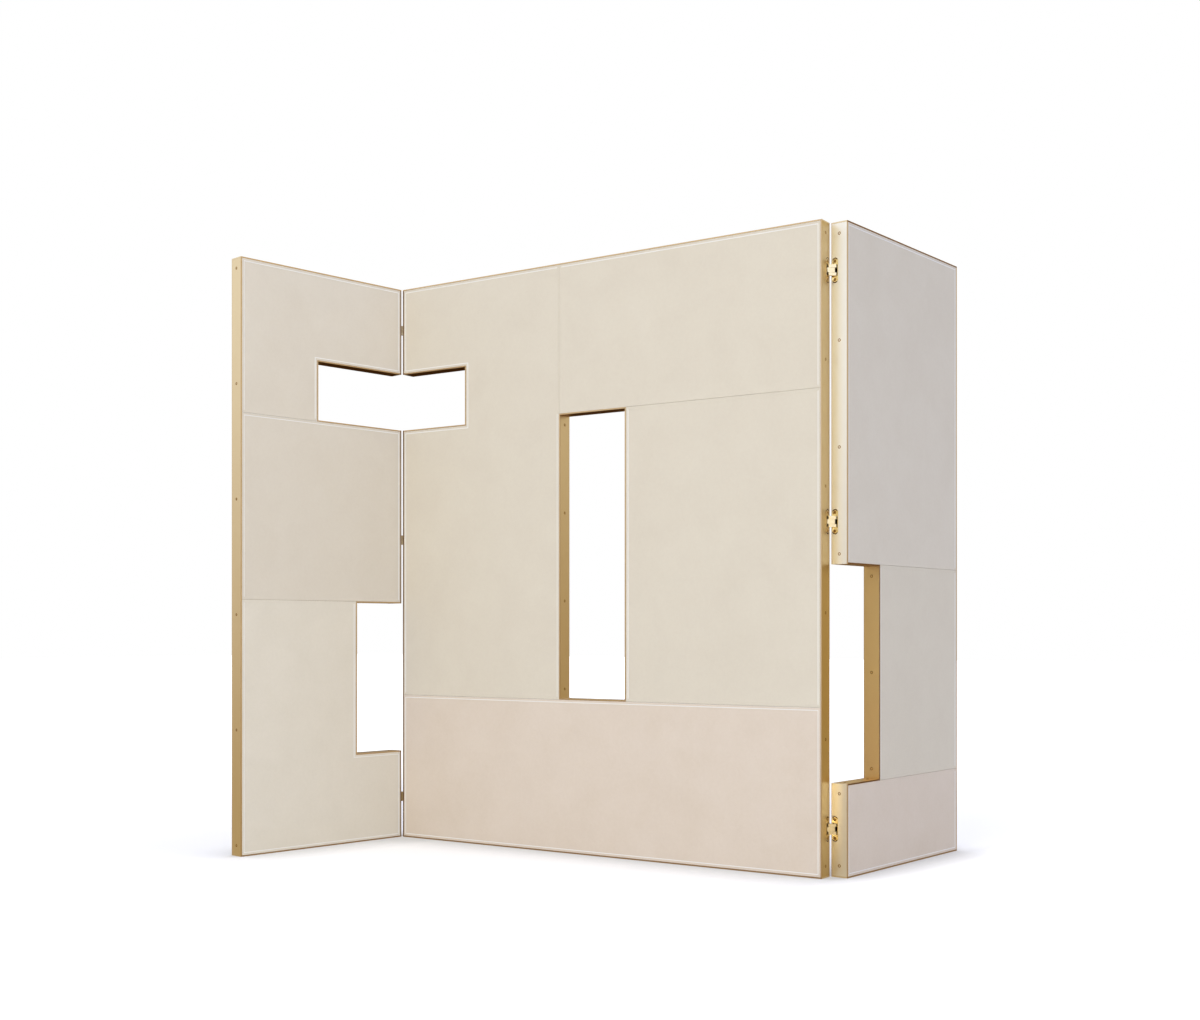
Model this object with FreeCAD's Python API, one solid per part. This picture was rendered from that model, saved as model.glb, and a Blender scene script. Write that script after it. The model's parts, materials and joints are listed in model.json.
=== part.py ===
import FreeCAD, Part
import math
import os
from FreeCAD import Vector

# Three-panel folding screen in millimetres, standing open in a zigzag.
# +X runs along the centre panel from left to right, +Y goes to the back, +Z is up.
# The origin is the middle of the centre panel's underside.
# Every panel is built straight in line with the centre one and then swung about its fold.

# The whole screen
screen_height = 1800.0
panel_thickness = 50.0
left_width = 610.0
centre_width = 1510.0
right_width = 670.0
fold_gap = 4.0                # between panel edges when a fold is straight
face_gap = 3.0                # between panel faces when a fold is shut
left_inside_angle = 99.8      # degrees between the faces that close on each other
right_inside_angle = 95.4

# The window that crosses the left fold
window_top_inset = 279.0
window_height = 184.0
window_left_width = 330.0
window_centre_width = 262.0

# The notches in the fold edges of the side panels
left_notch_bottom = 284.0
left_notch_height = 484.0
left_notch_depth = 180.0
right_notch_bottom = 258.0
right_notch_height = 602.0
right_notch_depth = 180.0

# The slot through the centre panel, which rises to the level of the window sill
slot_left_inset = 635.0
slot_width = 235.0
slot_bottom = 471.0

# Flat metal bars round every edge
bar_thickness = 4.0

# Leather-covered tiles on both faces
tile_thickness = 8.0
tile_seam = 0.5
tile_bevel = 0.8

# Timber frame between the tiles
timber_width = 60.0

# Places of the hinges: one near each end of a fold and one above the taller notch
hinge_end_inset = 132.0
middle_hinge_rise = 117.0

# Hinge pivots, measured in from a panel's edge and from its closing face
pivot_depth = 4.0
pivot_setback = 6.5
pivot_pin_radius = 1.2

# Hinge links: hooked plates that reach from one cup into the other
link_boss_radius = 2.2
link_spine_width = 6.0
link_spine_standoff = 0.8     # beyond the pivot's own depth
link_corner_cut = 3.5
link_tip_cut = 1.2
yoke_plate_thickness = 8.5
tongue_thickness = 13.0
slide_key_width = 3.0
slide_key_length = 5.0
slide_key_rise = 6.0          # from the pivot along the link's spine

# Hinge cups and their screws
cup_wall = 1.6
cup_floor = 2.2
cup_end_wall = 2.2
flange_overhang = 17.0        # flange beyond the cup's body at each end
screw_head_radius = 4.0
screw_shank_radius = 2.0
screw_point_length = 22.0
screw_sides = 8               # facets that stand for the round of so small a piece

# Clearances
link_clearance = 0.3
running_clearance = 0.05
seat_clearance = 0.1
mortise_clearance = 0.2
overrun = 5.0                 # how far a cutter runs past what it cuts

X_AXIS = Vector(1, 0, 0)
Y_AXIS = Vector(0, 1, 0)
Z_AXIS = Vector(0, 0, 1)
ORIGIN = Vector(0, 0, 0)

# Levels and depths that follow from the sizes above
front_face = -panel_thickness / 2
back_face = panel_thickness / 2
window_top = screen_height - window_top_inset
window_bottom = window_top - window_height
left_notch_top = left_notch_bottom + left_notch_height
right_notch_top = right_notch_bottom + right_notch_height
slot_top = window_bottom
slot_right = slot_left_inset + slot_width
inner_bottom = bar_thickness
inner_top = screen_height - bar_thickness
timber_front = front_face + tile_thickness
timber_back = back_face - tile_thickness
hinge_levels = [
    hinge_end_inset,
    max(left_notch_top, right_notch_top) + middle_hinge_rise,
    screen_height - hinge_end_inset,
]

# Hinge geometry seen along the fold.
# Both pivots lie at one distance from the fold's axis, so each link turns by half the fold.
pivot_from_axis_along = pivot_depth + fold_gap / 2
pivot_from_axis_across = pivot_setback + face_gap / 2
pivot_reach = math.hypot(pivot_from_axis_along, pivot_from_axis_across)
pivots_closest = 2 * min(pivot_from_axis_along, pivot_from_axis_across)
pivots_furthest = 2 * pivot_reach
spine_inner = pivot_depth + link_spine_standoff
spine_outer = spine_inner + link_spine_width
spine_middle = spine_inner + link_spine_width / 2
far_foot_rise = pivots_furthest + pivot_pin_radius + link_clearance + link_boss_radius
near_bottom = -link_boss_radius
far_top = far_foot_rise + link_boss_radius


def link_reach():
    """How deep, and how far across, the links come into a leaf between shut and straight.

    A corner of a link is given by its distance out from the pivot and its rise along the spine.
    """
    corners = [
        (spine_outer, near_bottom + link_corner_cut),
        (spine_outer, far_top - link_corner_cut),
        (spine_outer - link_corner_cut, far_top),
        (0, far_top),
    ]
    deepest = 0
    furthest = 0
    for degrees in range(0, 181, 2):
        half = math.radians(degrees / 2)
        for out, rise in corners:
            own = pivot_from_axis_across + out * math.sin(half) - rise * math.cos(half)
            depth = pivot_from_axis_along * math.cos(2 * half)
            depth -= pivot_from_axis_across * math.sin(2 * half)
            depth += rise * math.sin(half) - out * math.cos(half)
            across = -pivot_from_axis_along * math.sin(2 * half)
            across -= pivot_from_axis_across * math.cos(2 * half)
            across += rise * math.cos(half) + out * math.sin(half)
            furthest = max(furthest, own)
            if depth > fold_gap / 2:
                deepest = max(deepest, depth)
                furthest = max(furthest, across)
    return deepest - fold_gap / 2, furthest - face_gap / 2


link_depth, link_width = link_reach()
boss_reach = math.hypot(link_boss_radius, link_boss_radius - link_tip_cut)
pocket_start = pivot_setback - boss_reach - link_clearance
pocket_end = link_width + link_clearance
pocket_depth = link_depth + link_clearance
pocket_half_length = tongue_thickness / 2 + yoke_plate_thickness + 2 * link_clearance
cup_start = pocket_start - cup_wall
cup_end = pocket_end + cup_wall
cup_middle = (cup_start + cup_end) / 2
cup_half_width = (cup_end - cup_start) / 2
cup_depth = pocket_depth + cup_floor
cup_body_half_length = pocket_half_length + cup_end_wall
flange_half_length = cup_body_half_length + flange_overhang
flange_thickness = bar_thickness
screw_rise = flange_half_length - cup_half_width


def block(x_start, x_end, y_start, y_end, z_start, z_end):
    corner = Vector(x_start, y_start, z_start)
    return Part.makeBox(x_end - x_start, y_end - y_start, z_end - z_start, corner)


def faceted_turning(profile, rise):
    """A small turned piece lying along X at the cup's middle, with flat facets for its round.

    The profile is a list of depths and radii, and a last radius of zero makes a point.
    """
    def ring(depth, radius):
        angles = [2 * math.pi * side / screw_sides for side in range(screw_sides)]
        return [
            Vector(depth, cup_middle + radius * math.cos(angle), rise + radius * math.sin(angle))
            for angle in angles
        ]

    rings = [ring(depth, radius) for depth, radius in profile if radius > 0]
    outlines = [rings[0]]
    for here, there in zip(rings, rings[1:]):
        for side in range(screw_sides):
            other = (side + 1) % screw_sides
            outlines.append([here[side], here[other], there[other], there[side]])
    last_depth, last_radius = profile[-1]
    if last_radius > 0:
        outlines.append(rings[-1])
    else:
        point = Vector(last_depth, cup_middle, rise)
        for side in range(screw_sides):
            outlines.append([rings[-1][side], rings[-1][(side + 1) % screw_sides], point])
    faces = [Part.Face(Part.makePolygon(outline + outline[:1])) for outline in outlines]
    solid = Part.Solid(Part.Shell(faces))
    if solid.Volume < 0:
        solid.reverse()
    return solid


def upright_obround(half_length, radius, depth_start, depth_end, across):
    """A round-ended bar standing along Z, extruded into the panel along X."""
    straight = half_length - radius
    low_right = Vector(depth_start, across + radius, -straight)
    high_right = Vector(depth_start, across + radius, straight)
    high_left = Vector(depth_start, across - radius, straight)
    low_left = Vector(depth_start, across - radius, -straight)
    top = Vector(depth_start, across, half_length)
    bottom = Vector(depth_start, across, -half_length)
    edges = [
        Part.makeLine(low_right, high_right),
        Part.Arc(high_right, top, high_left).toShape(),
        Part.makeLine(high_left, low_left),
        Part.Arc(low_left, bottom, low_right).toShape(),
    ]
    face = Part.Face(Part.Wire(edges))
    return face.extrude(Vector(depth_end - depth_start, 0, 0))


def write_node(name, solids):
    """Write one named piece, or a group of like pieces, as a STEP file."""
    shape = solids[0] if len(solids) == 1 else Part.makeCompound(solids)
    shape.exportStep("parts/" + name + ".step")
    print(name, len(shape.Solids), "solids, volume", round(shape.Volume))


# Panels. A place along a panel is given from the panel's left end.
left_panel = {
    "name": "left",
    "width": left_width,
    "start": -centre_width / 2 - fold_gap - left_width,
}
centre_panel = {
    "name": "centre",
    "width": centre_width,
    "start": -centre_width / 2,
}
right_panel = {
    "name": "right",
    "width": right_width,
    "start": centre_width / 2 + fold_gap,
}

# Folds. The left one closes the front faces and the right one closes the back faces.
left_fold = {
    "name": "left",
    "axis": Vector(-centre_width / 2 - fold_gap / 2, front_face - face_gap / 2, 0),
    "swing": 180.0 - left_inside_angle,
}
right_fold = {
    "name": "right",
    "axis": Vector(centre_width / 2 + fold_gap / 2, back_face + face_gap / 2, 0),
    "swing": 180.0 - right_inside_angle,
}

# Leaves. Each is one panel's side of a fold: x goes into the panel from its edge,
# y goes into it from its closing face, and z is the height above the hinge's middle.
left_fold_centre_leaf = {
    "fold": left_fold,
    "panel": centre_panel,
    "edge": -centre_width / 2,
    "face": front_face,
    "flip_x": False,
    "flip_y": False,
}
left_fold_side_leaf = {
    "fold": left_fold,
    "panel": left_panel,
    "edge": -centre_width / 2 - fold_gap,
    "face": front_face,
    "flip_x": True,
    "flip_y": False,
}
right_fold_centre_leaf = {
    "fold": right_fold,
    "panel": centre_panel,
    "edge": centre_width / 2,
    "face": back_face,
    "flip_x": True,
    "flip_y": True,
}
right_fold_side_leaf = {
    "fold": right_fold,
    "panel": right_panel,
    "edge": centre_width / 2 + fold_gap,
    "face": back_face,
    "flip_x": False,
    "flip_y": True,
}
all_leaves = [
    left_fold_centre_leaf,
    left_fold_side_leaf,
    right_fold_centre_leaf,
    right_fold_side_leaf,
]


def into_leaf(shape, leaf, level):
    """Move a shape from leaf coordinates to its place on the straightened screen."""
    placed = shape.copy()
    if leaf["flip_x"]:
        placed = placed.mirror(ORIGIN, X_AXIS)
    if leaf["flip_y"]:
        placed = placed.mirror(ORIGIN, Y_AXIS)
    placed.translate(Vector(leaf["edge"], leaf["face"], level))
    return placed


def pivot_of(leaf):
    """The leaf's pivot line on the straightened screen."""
    along = -pivot_depth if leaf["flip_x"] else pivot_depth
    across = -pivot_setback if leaf["flip_y"] else pivot_setback
    return Vector(leaf["edge"] + along, leaf["face"] + across, 0)


def swung(solids, fold):
    """Turn pieces of a side panel from the straight position to where the screen stands."""
    if fold is None:
        return solids
    turned = [solid.copy() for solid in solids]
    for solid in turned:
        solid.rotate(fold["axis"], Z_AXIS, fold["swing"])
    return turned


# Hinge parts in leaf coordinates


def link_outline():
    """The hooked outline shared by both kinds of link, with the panels in line.

    It starts round the pivot in its own leaf, runs across the gap along the spine,
    and hooks back towards the closing face inside the other leaf.
    """
    def point(out, rise):
        return Vector(pivot_depth - rise, pivot_setback + out, 0)

    tip_out = link_tip_cut - link_boss_radius
    far_bottom = far_foot_rise - link_boss_radius
    corners = [
        point(tip_out, near_bottom),
        point(spine_outer - link_corner_cut, near_bottom),
        point(spine_outer, near_bottom + link_corner_cut),
        point(spine_outer, far_top - link_corner_cut),
        point(spine_outer - link_corner_cut, far_top),
        point(tip_out, far_top),
        point(-link_boss_radius, far_top - link_tip_cut),
        point(-link_boss_radius, far_bottom + link_tip_cut),
        point(tip_out, far_bottom),
        point(spine_inner, far_bottom),
        point(spine_inner, link_boss_radius),
        point(tip_out, link_boss_radius),
        point(-link_boss_radius, link_boss_radius - link_tip_cut),
        point(-link_boss_radius, link_tip_cut - link_boss_radius),
    ]
    return Part.Face(Part.makePolygon(corners + corners[:1]))


def link_plate(z_start, z_end):
    """One hooked plate with a running hole for its pivot pin."""
    plate = link_outline().extrude(Vector(0, 0, z_end - z_start))
    plate.translate(Vector(0, 0, z_start))
    hole_base = Vector(pivot_depth, pivot_setback, z_start - overrun)
    hole_length = z_end - z_start + 2 * overrun
    hole = Part.makeCylinder(pivot_pin_radius + running_clearance, hole_length, hole_base, Z_AXIS)
    return plate.cut(hole)


def spine_bar(rise_start, rise_end, width, half_length):
    """A square-edged bar through the middle of a link's spine."""
    middle = pivot_setback + spine_middle
    return block(
        pivot_depth - rise_end, pivot_depth - rise_start,
        middle - width / 2, middle + width / 2, -half_length, half_length,
    )


def yoke_link():
    """Two plates joined by the key that slides in the tongue's slot."""
    inner_face = tongue_thickness / 2 + link_clearance
    outer_face = inner_face + yoke_plate_thickness
    upper = link_plate(inner_face, outer_face)
    lower = link_plate(-outer_face, -inner_face)
    key = spine_bar(
        slide_key_rise - slide_key_length / 2, slide_key_rise + slide_key_length / 2,
        slide_key_width, inner_face,
    )
    return upper.fuse([lower, key]).removeSplitter()


def tongue_link():
    """The single plate between the yoke's two.

    The two kinds of link never turn against each other, so the slot for the key is straight.
    """
    plate = link_plate(-tongue_thickness / 2, tongue_thickness / 2)
    end_room = slide_key_length / 2 + link_clearance
    slot = spine_bar(
        pivots_closest - slide_key_rise - end_room, pivots_furthest - slide_key_rise + end_room,
        slide_key_width + 2 * running_clearance, tongue_thickness,
    )
    return plate.cut(slot)


def hinge_cup():
    """A round-ended flange flush with the edge bar, and the pocket that holds the links."""
    flange = upright_obround(flange_half_length, cup_half_width, 0, flange_thickness, cup_middle)
    body = block(
        0, cup_depth, cup_start, cup_end, -cup_body_half_length, cup_body_half_length,
    )
    pocket = block(
        -overrun, pocket_depth, pocket_start, pocket_end, -pocket_half_length, pocket_half_length,
    )
    cup = flange.fuse(body).removeSplitter().cut(pocket)
    for rise in (-screw_rise, screw_rise):
        countersink = faceted_turning([
            (0, screw_head_radius + seat_clearance),
            (flange_thickness, screw_shank_radius + seat_clearance),
        ], rise)
        cup = cup.cut(countersink)
    return cup


def pivot_pin():
    """A plain pin held between the two end walls of the cup's pocket."""
    base = Vector(pivot_depth, pivot_setback, -pocket_half_length)
    return Part.makeCylinder(pivot_pin_radius, 2 * pocket_half_length, base, Z_AXIS)


def hinge_screw(rise):
    """A countersunk wood screw: its head fills the flange and its shank tapers to a point."""
    return faceted_turning([
        (0, screw_head_radius),
        (flange_thickness, screw_shank_radius),
        (flange_thickness + screw_point_length, 0),
    ], rise)


def pilot_hole(rise):
    """The hole that a hinge screw leaves in the timber."""
    return faceted_turning([
        (flange_thickness, screw_shank_radius + seat_clearance),
        (flange_thickness + screw_point_length + seat_clearance, 0),
    ], rise)


def body_mortise():
    """The square-cornered recess behind the edge bar that takes the cup's body."""
    return block(
        -overrun, cup_depth + mortise_clearance,
        cup_start - mortise_clearance, cup_end + mortise_clearance,
        -cup_body_half_length - mortise_clearance, cup_body_half_length + mortise_clearance,
    )


def flange_mortise():
    """The round-ended hole in the edge bar."""
    return upright_obround(
        flange_half_length + seat_clearance, cup_half_width + seat_clearance,
        -overrun, bar_thickness + overrun, cup_middle,
    )


def leaves_of(panel):
    return [leaf for leaf in all_leaves if leaf["panel"] is panel]


def at_every_hinge(shape, leaves):
    return [into_leaf(shape, leaf, level) for leaf in leaves for level in hinge_levels]


def cut_where_met(solid, cutters):
    """Cut only with the cutters whose box meets the solid's box."""
    for cutter in cutters:
        if solid.BoundBox.intersect(cutter.BoundBox):
            solid = solid.cut(cutter)
    return solid


# Flat pieces of a panel, by their spans along it and up it


def slab(panel, span, rise, y_start, y_end):
    start = panel["start"]
    return block(start + span[0], start + span[1], y_start, y_end, rise[0], rise[1])


def bar(panel, span, rise):
    """A flat metal bar as wide as the panel is thick."""
    return slab(panel, span, rise, front_face, back_face)


def covered_tile(panel, outline, on_front):
    """A board cut to an outline, with its visible edges bevelled where the cover turns over."""
    visible = front_face if on_front else back_face
    hidden = timber_front if on_front else timber_back
    corners = [Vector(panel["start"] + along, visible, rise) for along, rise in outline]
    face = Part.Face(Part.makePolygon(corners + corners[:1]))
    board = face.extrude(Vector(0, hidden - visible, 0))
    face_edges = [
        edge for edge in board.Edges
        if all(abs(vertex.Y - visible) < seat_clearance for vertex in edge.Vertexes)
    ]
    return board.makeChamfer(tile_bevel, face_edges)


def write_tiles(panel, outlines, fold):
    recesses = at_every_hinge(body_mortise(), leaves_of(panel))
    for side, on_front in (("front", True), ("back", False)):
        for place, outline in outlines.items():
            tile = cut_where_met(covered_tile(panel, outline, on_front), recesses)
            write_node(panel["name"] + "_" + side + "_tile_" + place, swung([tile], fold))


def write_bars(panel, bars, fold):
    holes = at_every_hinge(flange_mortise(), leaves_of(panel))
    for place, spans in bars.items():
        pieces = [cut_where_met(bar(panel, span, rise), holes) for span, rise in spans]
        write_node(panel["name"] + "_" + place, swung(pieces, fold))


def write_core(panel, timbers, infills, fold):
    """The timber frame with its hinge mortises, and the light infill between its members."""
    leaves = leaves_of(panel)
    cutters = at_every_hinge(body_mortise(), leaves)
    for rise in (-screw_rise, screw_rise):
        cutters += at_every_hinge(pilot_hole(rise), leaves)
    frame = [
        cut_where_met(slab(panel, span, rise, timber_front, timber_back), cutters)
        for span, rise in timbers
    ]
    filling = [
        cut_where_met(slab(panel, span, rise, timber_front, timber_back), cutters)
        for span, rise in infills
    ]
    write_node(panel["name"] + "_timber_frame", swung(frame, fold))
    write_node(panel["name"] + "_core_infill", swung(filling, fold))


def write_hinge_leaves(panel, fold):
    """The cups, pivot pins and screws that stay on one panel."""
    leaves = leaves_of(panel)
    screws = at_every_hinge(hinge_screw(-screw_rise), leaves)
    screws += at_every_hinge(hinge_screw(screw_rise), leaves)
    write_node(panel["name"] + "_hinge_cups", swung(at_every_hinge(hinge_cup(), leaves), fold))
    write_node(panel["name"] + "_hinge_pins", swung(at_every_hinge(pivot_pin(), leaves), fold))
    write_node(panel["name"] + "_hinge_screws", swung(screws, fold))


def write_links(fold, centre_leaf, side_leaf):
    """Yokes turn on the centre panel's pins and tongues on the side panel's, by half the fold."""
    half_swing = fold["swing"] / 2
    yokes = at_every_hinge(yoke_link(), [centre_leaf])
    for yoke in yokes:
        yoke.rotate(pivot_of(centre_leaf), Z_AXIS, half_swing)
    tongues = at_every_hinge(tongue_link(), [side_leaf])
    for tongue in tongues:
        tongue.rotate(pivot_of(side_leaf), Z_AXIS, -half_swing)
    write_node(fold["name"] + "_fold_yoke_links", yokes)
    write_node(fold["name"] + "_fold_tongue_links", swung(tongues, fold))


def opening_bars(start, end, bottom, top):
    """The four bars that line an opening: two long ones, and two walls between them."""
    sill = ((start - bar_thickness, end + bar_thickness), (bottom - bar_thickness, bottom))
    soffit = ((start - bar_thickness, end + bar_thickness), (top, top + bar_thickness))
    left_wall = ((start - bar_thickness, start), (bottom, top))
    right_wall = ((end, end + bar_thickness), (bottom, top))
    return sill, soffit, left_wall, right_wall


def top_and_bottom_bars(width):
    return {
        "top_bar": [((0, width), (inner_top, screen_height))],
        "bottom_bar": [((0, width), (0, inner_bottom))],
    }


# Left panel: the window and a notch open into its right edge


def write_left_panel():
    width = left_width
    near = bar_thickness
    far = width - bar_thickness
    window_start = width - window_left_width
    notch_start = width - left_notch_depth
    wall = window_start - bar_thickness
    notch_wall = notch_start - bar_thickness
    sill = window_bottom - bar_thickness
    soffit = window_top + bar_thickness
    notch_sill = left_notch_bottom - bar_thickness
    notch_soffit = left_notch_top + bar_thickness

    outlines = {
        "top": [
            (near, sill + tile_seam), (wall, sill + tile_seam), (wall, soffit),
            (far, soffit), (far, inner_top), (near, inner_top),
        ],
        "middle": [
            (near, notch_soffit), (far, notch_soffit), (far, sill), (near, sill),
        ],
        "bottom": [
            (near, inner_bottom), (far, inner_bottom), (far, notch_sill),
            (notch_wall, notch_sill), (notch_wall, notch_soffit - tile_seam),
            (near, notch_soffit - tile_seam),
        ],
    }
    write_tiles(left_panel, outlines, left_fold)

    bars = top_and_bottom_bars(width)
    bars["outer_bar"] = [((0, near), (inner_bottom, inner_top))]
    bars["fold_bar_upper"] = [((far, width), (window_top, inner_top))]
    bars["fold_bar_middle"] = [((far, width), (left_notch_top, window_bottom))]
    bars["fold_bar_lower"] = [((far, width), (inner_bottom, left_notch_bottom))]
    bars["window_trim"] = [
        ((wall, far), (sill, window_bottom)),
        ((wall, far), (window_top, soffit)),
        ((wall, window_start), (window_bottom, window_top)),
    ]
    bars["notch_trim"] = [
        ((notch_wall, far), (notch_sill, left_notch_bottom)),
        ((notch_wall, far), (left_notch_top, notch_soffit)),
        ((notch_wall, notch_start), (left_notch_bottom, left_notch_top)),
    ]
    write_bars(left_panel, bars, left_fold)

    outer = near + timber_width
    fold_side = far - timber_width
    top_rail = inner_top - timber_width
    bottom_rail = inner_bottom + timber_width
    timbers = [
        ((near, outer), (inner_bottom, inner_top)),
        ((fold_side, far), (soffit, inner_top)),
        ((outer, fold_side), (top_rail, inner_top)),
        ((outer, fold_side), (soffit, soffit + timber_width)),
        ((wall - timber_width, wall), (sill, soffit)),
        ((outer, far), (sill - timber_width, sill)),
        ((fold_side, far), (notch_soffit, sill - timber_width)),
        ((outer, fold_side), (notch_soffit, notch_soffit + timber_width)),
        ((notch_wall - timber_width, notch_wall), (notch_sill, notch_soffit)),
        ((outer, far), (notch_sill - timber_width, notch_sill)),
        ((fold_side, far), (bottom_rail, notch_sill - timber_width)),
        ((outer, far), (inner_bottom, bottom_rail)),
    ]
    infills = [
        ((outer, fold_side), (soffit + timber_width, top_rail)),
        ((outer, wall - timber_width), (sill, soffit)),
        ((outer, fold_side), (notch_soffit + timber_width, sill - timber_width)),
        ((outer, notch_wall - timber_width), (notch_sill, notch_soffit)),
        ((outer, fold_side), (bottom_rail, notch_sill - timber_width)),
    ]
    write_core(left_panel, timbers, infills, left_fold)
    write_hinge_leaves(left_panel, left_fold)


# Centre panel: the window opens into its left edge and the slot goes through its middle


def write_centre_panel():
    width = centre_width
    near = bar_thickness
    far = width - bar_thickness
    wall = window_centre_width + bar_thickness
    sill = window_bottom - bar_thickness
    soffit = window_top + bar_thickness
    slot_wall = slot_left_inset - bar_thickness
    slot_far_wall = slot_right + bar_thickness
    slot_sill = slot_bottom - bar_thickness
    slot_soffit = slot_top + bar_thickness

    outlines = {
        "left": [
            (near, slot_sill + tile_seam), (slot_wall, slot_sill + tile_seam),
            (slot_wall, inner_top), (near, inner_top), (near, soffit), (wall, soffit),
            (wall, sill), (near, sill),
        ],
        "upper_right": [
            (slot_wall + tile_seam, slot_soffit), (far, slot_soffit),
            (far, inner_top), (slot_wall + tile_seam, inner_top),
        ],
        "lower_right": [
            (slot_far_wall, slot_sill + tile_seam), (far, slot_sill + tile_seam),
            (far, slot_soffit - tile_seam), (slot_far_wall, slot_soffit - tile_seam),
        ],
        "bottom": [
            (near, inner_bottom), (far, inner_bottom), (far, slot_sill), (near, slot_sill),
        ],
    }
    write_tiles(centre_panel, outlines, None)

    bars = top_and_bottom_bars(width)
    bars["left_bar_upper"] = [((0, near), (window_top, inner_top))]
    bars["left_bar_lower"] = [((0, near), (inner_bottom, window_bottom))]
    bars["right_bar"] = [((far, width), (inner_bottom, inner_top))]
    bars["window_trim"] = [
        ((near, wall), (sill, window_bottom)),
        ((near, wall), (window_top, soffit)),
        ((window_centre_width, wall), (window_bottom, window_top)),
    ]
    bars["slot_trim"] = opening_bars(slot_left_inset, slot_right, slot_bottom, slot_top)
    write_bars(centre_panel, bars, None)

    left_side = near + timber_width
    right_side = far - timber_width
    top_rail = inner_top - timber_width
    bottom_rail = inner_bottom + timber_width
    mullion = slot_wall - timber_width
    jamb = slot_far_wall + timber_width
    timbers = [
        ((near, left_side), (soffit, inner_top)),
        ((near, left_side), (bottom_rail, sill)),
        ((right_side, far), (bottom_rail, inner_top)),
        ((left_side, right_side), (top_rail, inner_top)),
        ((near, far), (inner_bottom, bottom_rail)),
        ((left_side, mullion), (soffit, soffit + timber_width)),
        ((wall, wall + timber_width), (sill, soffit)),
        ((left_side, mullion), (sill - timber_width, sill)),
        ((mullion, slot_wall), (bottom_rail, top_rail)),
        ((slot_far_wall, jamb), (slot_sill, slot_soffit)),
        ((slot_wall, right_side), (slot_soffit, slot_soffit + timber_width)),
        ((slot_wall, right_side), (slot_sill - timber_width, slot_sill)),
        ((left_side, mullion), (slot_sill - timber_width, slot_sill)),
    ]
    infills = [
        ((left_side, mullion), (soffit + timber_width, top_rail)),
        ((wall + timber_width, mullion), (sill, soffit)),
        ((left_side, mullion), (slot_sill, sill - timber_width)),
        ((left_side, mullion), (bottom_rail, slot_sill - timber_width)),
        ((slot_wall, right_side), (slot_soffit + timber_width, top_rail)),
        ((jamb, right_side), (slot_sill, slot_soffit)),
        ((slot_wall, right_side), (bottom_rail, slot_sill - timber_width)),
    ]
    write_core(centre_panel, timbers, infills, None)
    write_hinge_leaves(centre_panel, None)


# Right panel: one tall notch opens into its left edge


def write_right_panel():
    width = right_width
    near = bar_thickness
    far = width - bar_thickness
    notch_wall = right_notch_depth + bar_thickness
    notch_sill = right_notch_bottom - bar_thickness
    notch_soffit = right_notch_top + bar_thickness

    outlines = {
        "top": [
            (near, notch_soffit), (far, notch_soffit), (far, inner_top), (near, inner_top),
        ],
        "middle": [
            (notch_wall, notch_sill + tile_seam), (far, notch_sill + tile_seam),
            (far, notch_soffit - tile_seam), (notch_wall, notch_soffit - tile_seam),
        ],
        "bottom": [
            (near, inner_bottom), (far, inner_bottom), (far, notch_sill), (near, notch_sill),
        ],
    }
    write_tiles(right_panel, outlines, right_fold)

    bars = top_and_bottom_bars(width)
    bars["outer_bar"] = [((far, width), (inner_bottom, inner_top))]
    bars["fold_bar_upper"] = [((0, near), (right_notch_top, inner_top))]
    bars["fold_bar_lower"] = [((0, near), (inner_bottom, right_notch_bottom))]
    bars["notch_trim"] = [
        ((near, notch_wall), (notch_sill, right_notch_bottom)),
        ((near, notch_wall), (right_notch_top, notch_soffit)),
        ((right_notch_depth, notch_wall), (right_notch_bottom, right_notch_top)),
    ]
    write_bars(right_panel, bars, right_fold)

    fold_side = near + timber_width
    outer = far - timber_width
    top_rail = inner_top - timber_width
    bottom_rail = inner_bottom + timber_width
    timbers = [
        ((outer, far), (inner_bottom, inner_top)),
        ((near, fold_side), (notch_soffit, inner_top)),
        ((fold_side, outer), (top_rail, inner_top)),
        ((fold_side, outer), (notch_soffit, notch_soffit + timber_width)),
        ((notch_wall, notch_wall + timber_width), (notch_sill, notch_soffit)),
        ((near, outer), (notch_sill - timber_width, notch_sill)),
        ((near, fold_side), (bottom_rail, notch_sill - timber_width)),
        ((near, outer), (inner_bottom, bottom_rail)),
    ]
    infills = [
        ((fold_side, outer), (notch_soffit + timber_width, top_rail)),
        ((notch_wall + timber_width, outer), (notch_sill, notch_soffit)),
        ((fold_side, outer), (bottom_rail, notch_sill - timber_width)),
    ]
    write_core(right_panel, timbers, infills, right_fold)
    write_hinge_leaves(right_panel, right_fold)


os.makedirs("parts", exist_ok=True)
write_centre_panel()
write_left_panel()
write_right_panel()
write_links(left_fold, left_fold_centre_leaf, left_fold_side_leaf)
write_links(right_fold, right_fold_centre_leaf, right_fold_side_leaf)
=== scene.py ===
import json
import math

import bmesh
import bpy
from mathutils import Matrix, Vector

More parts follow.
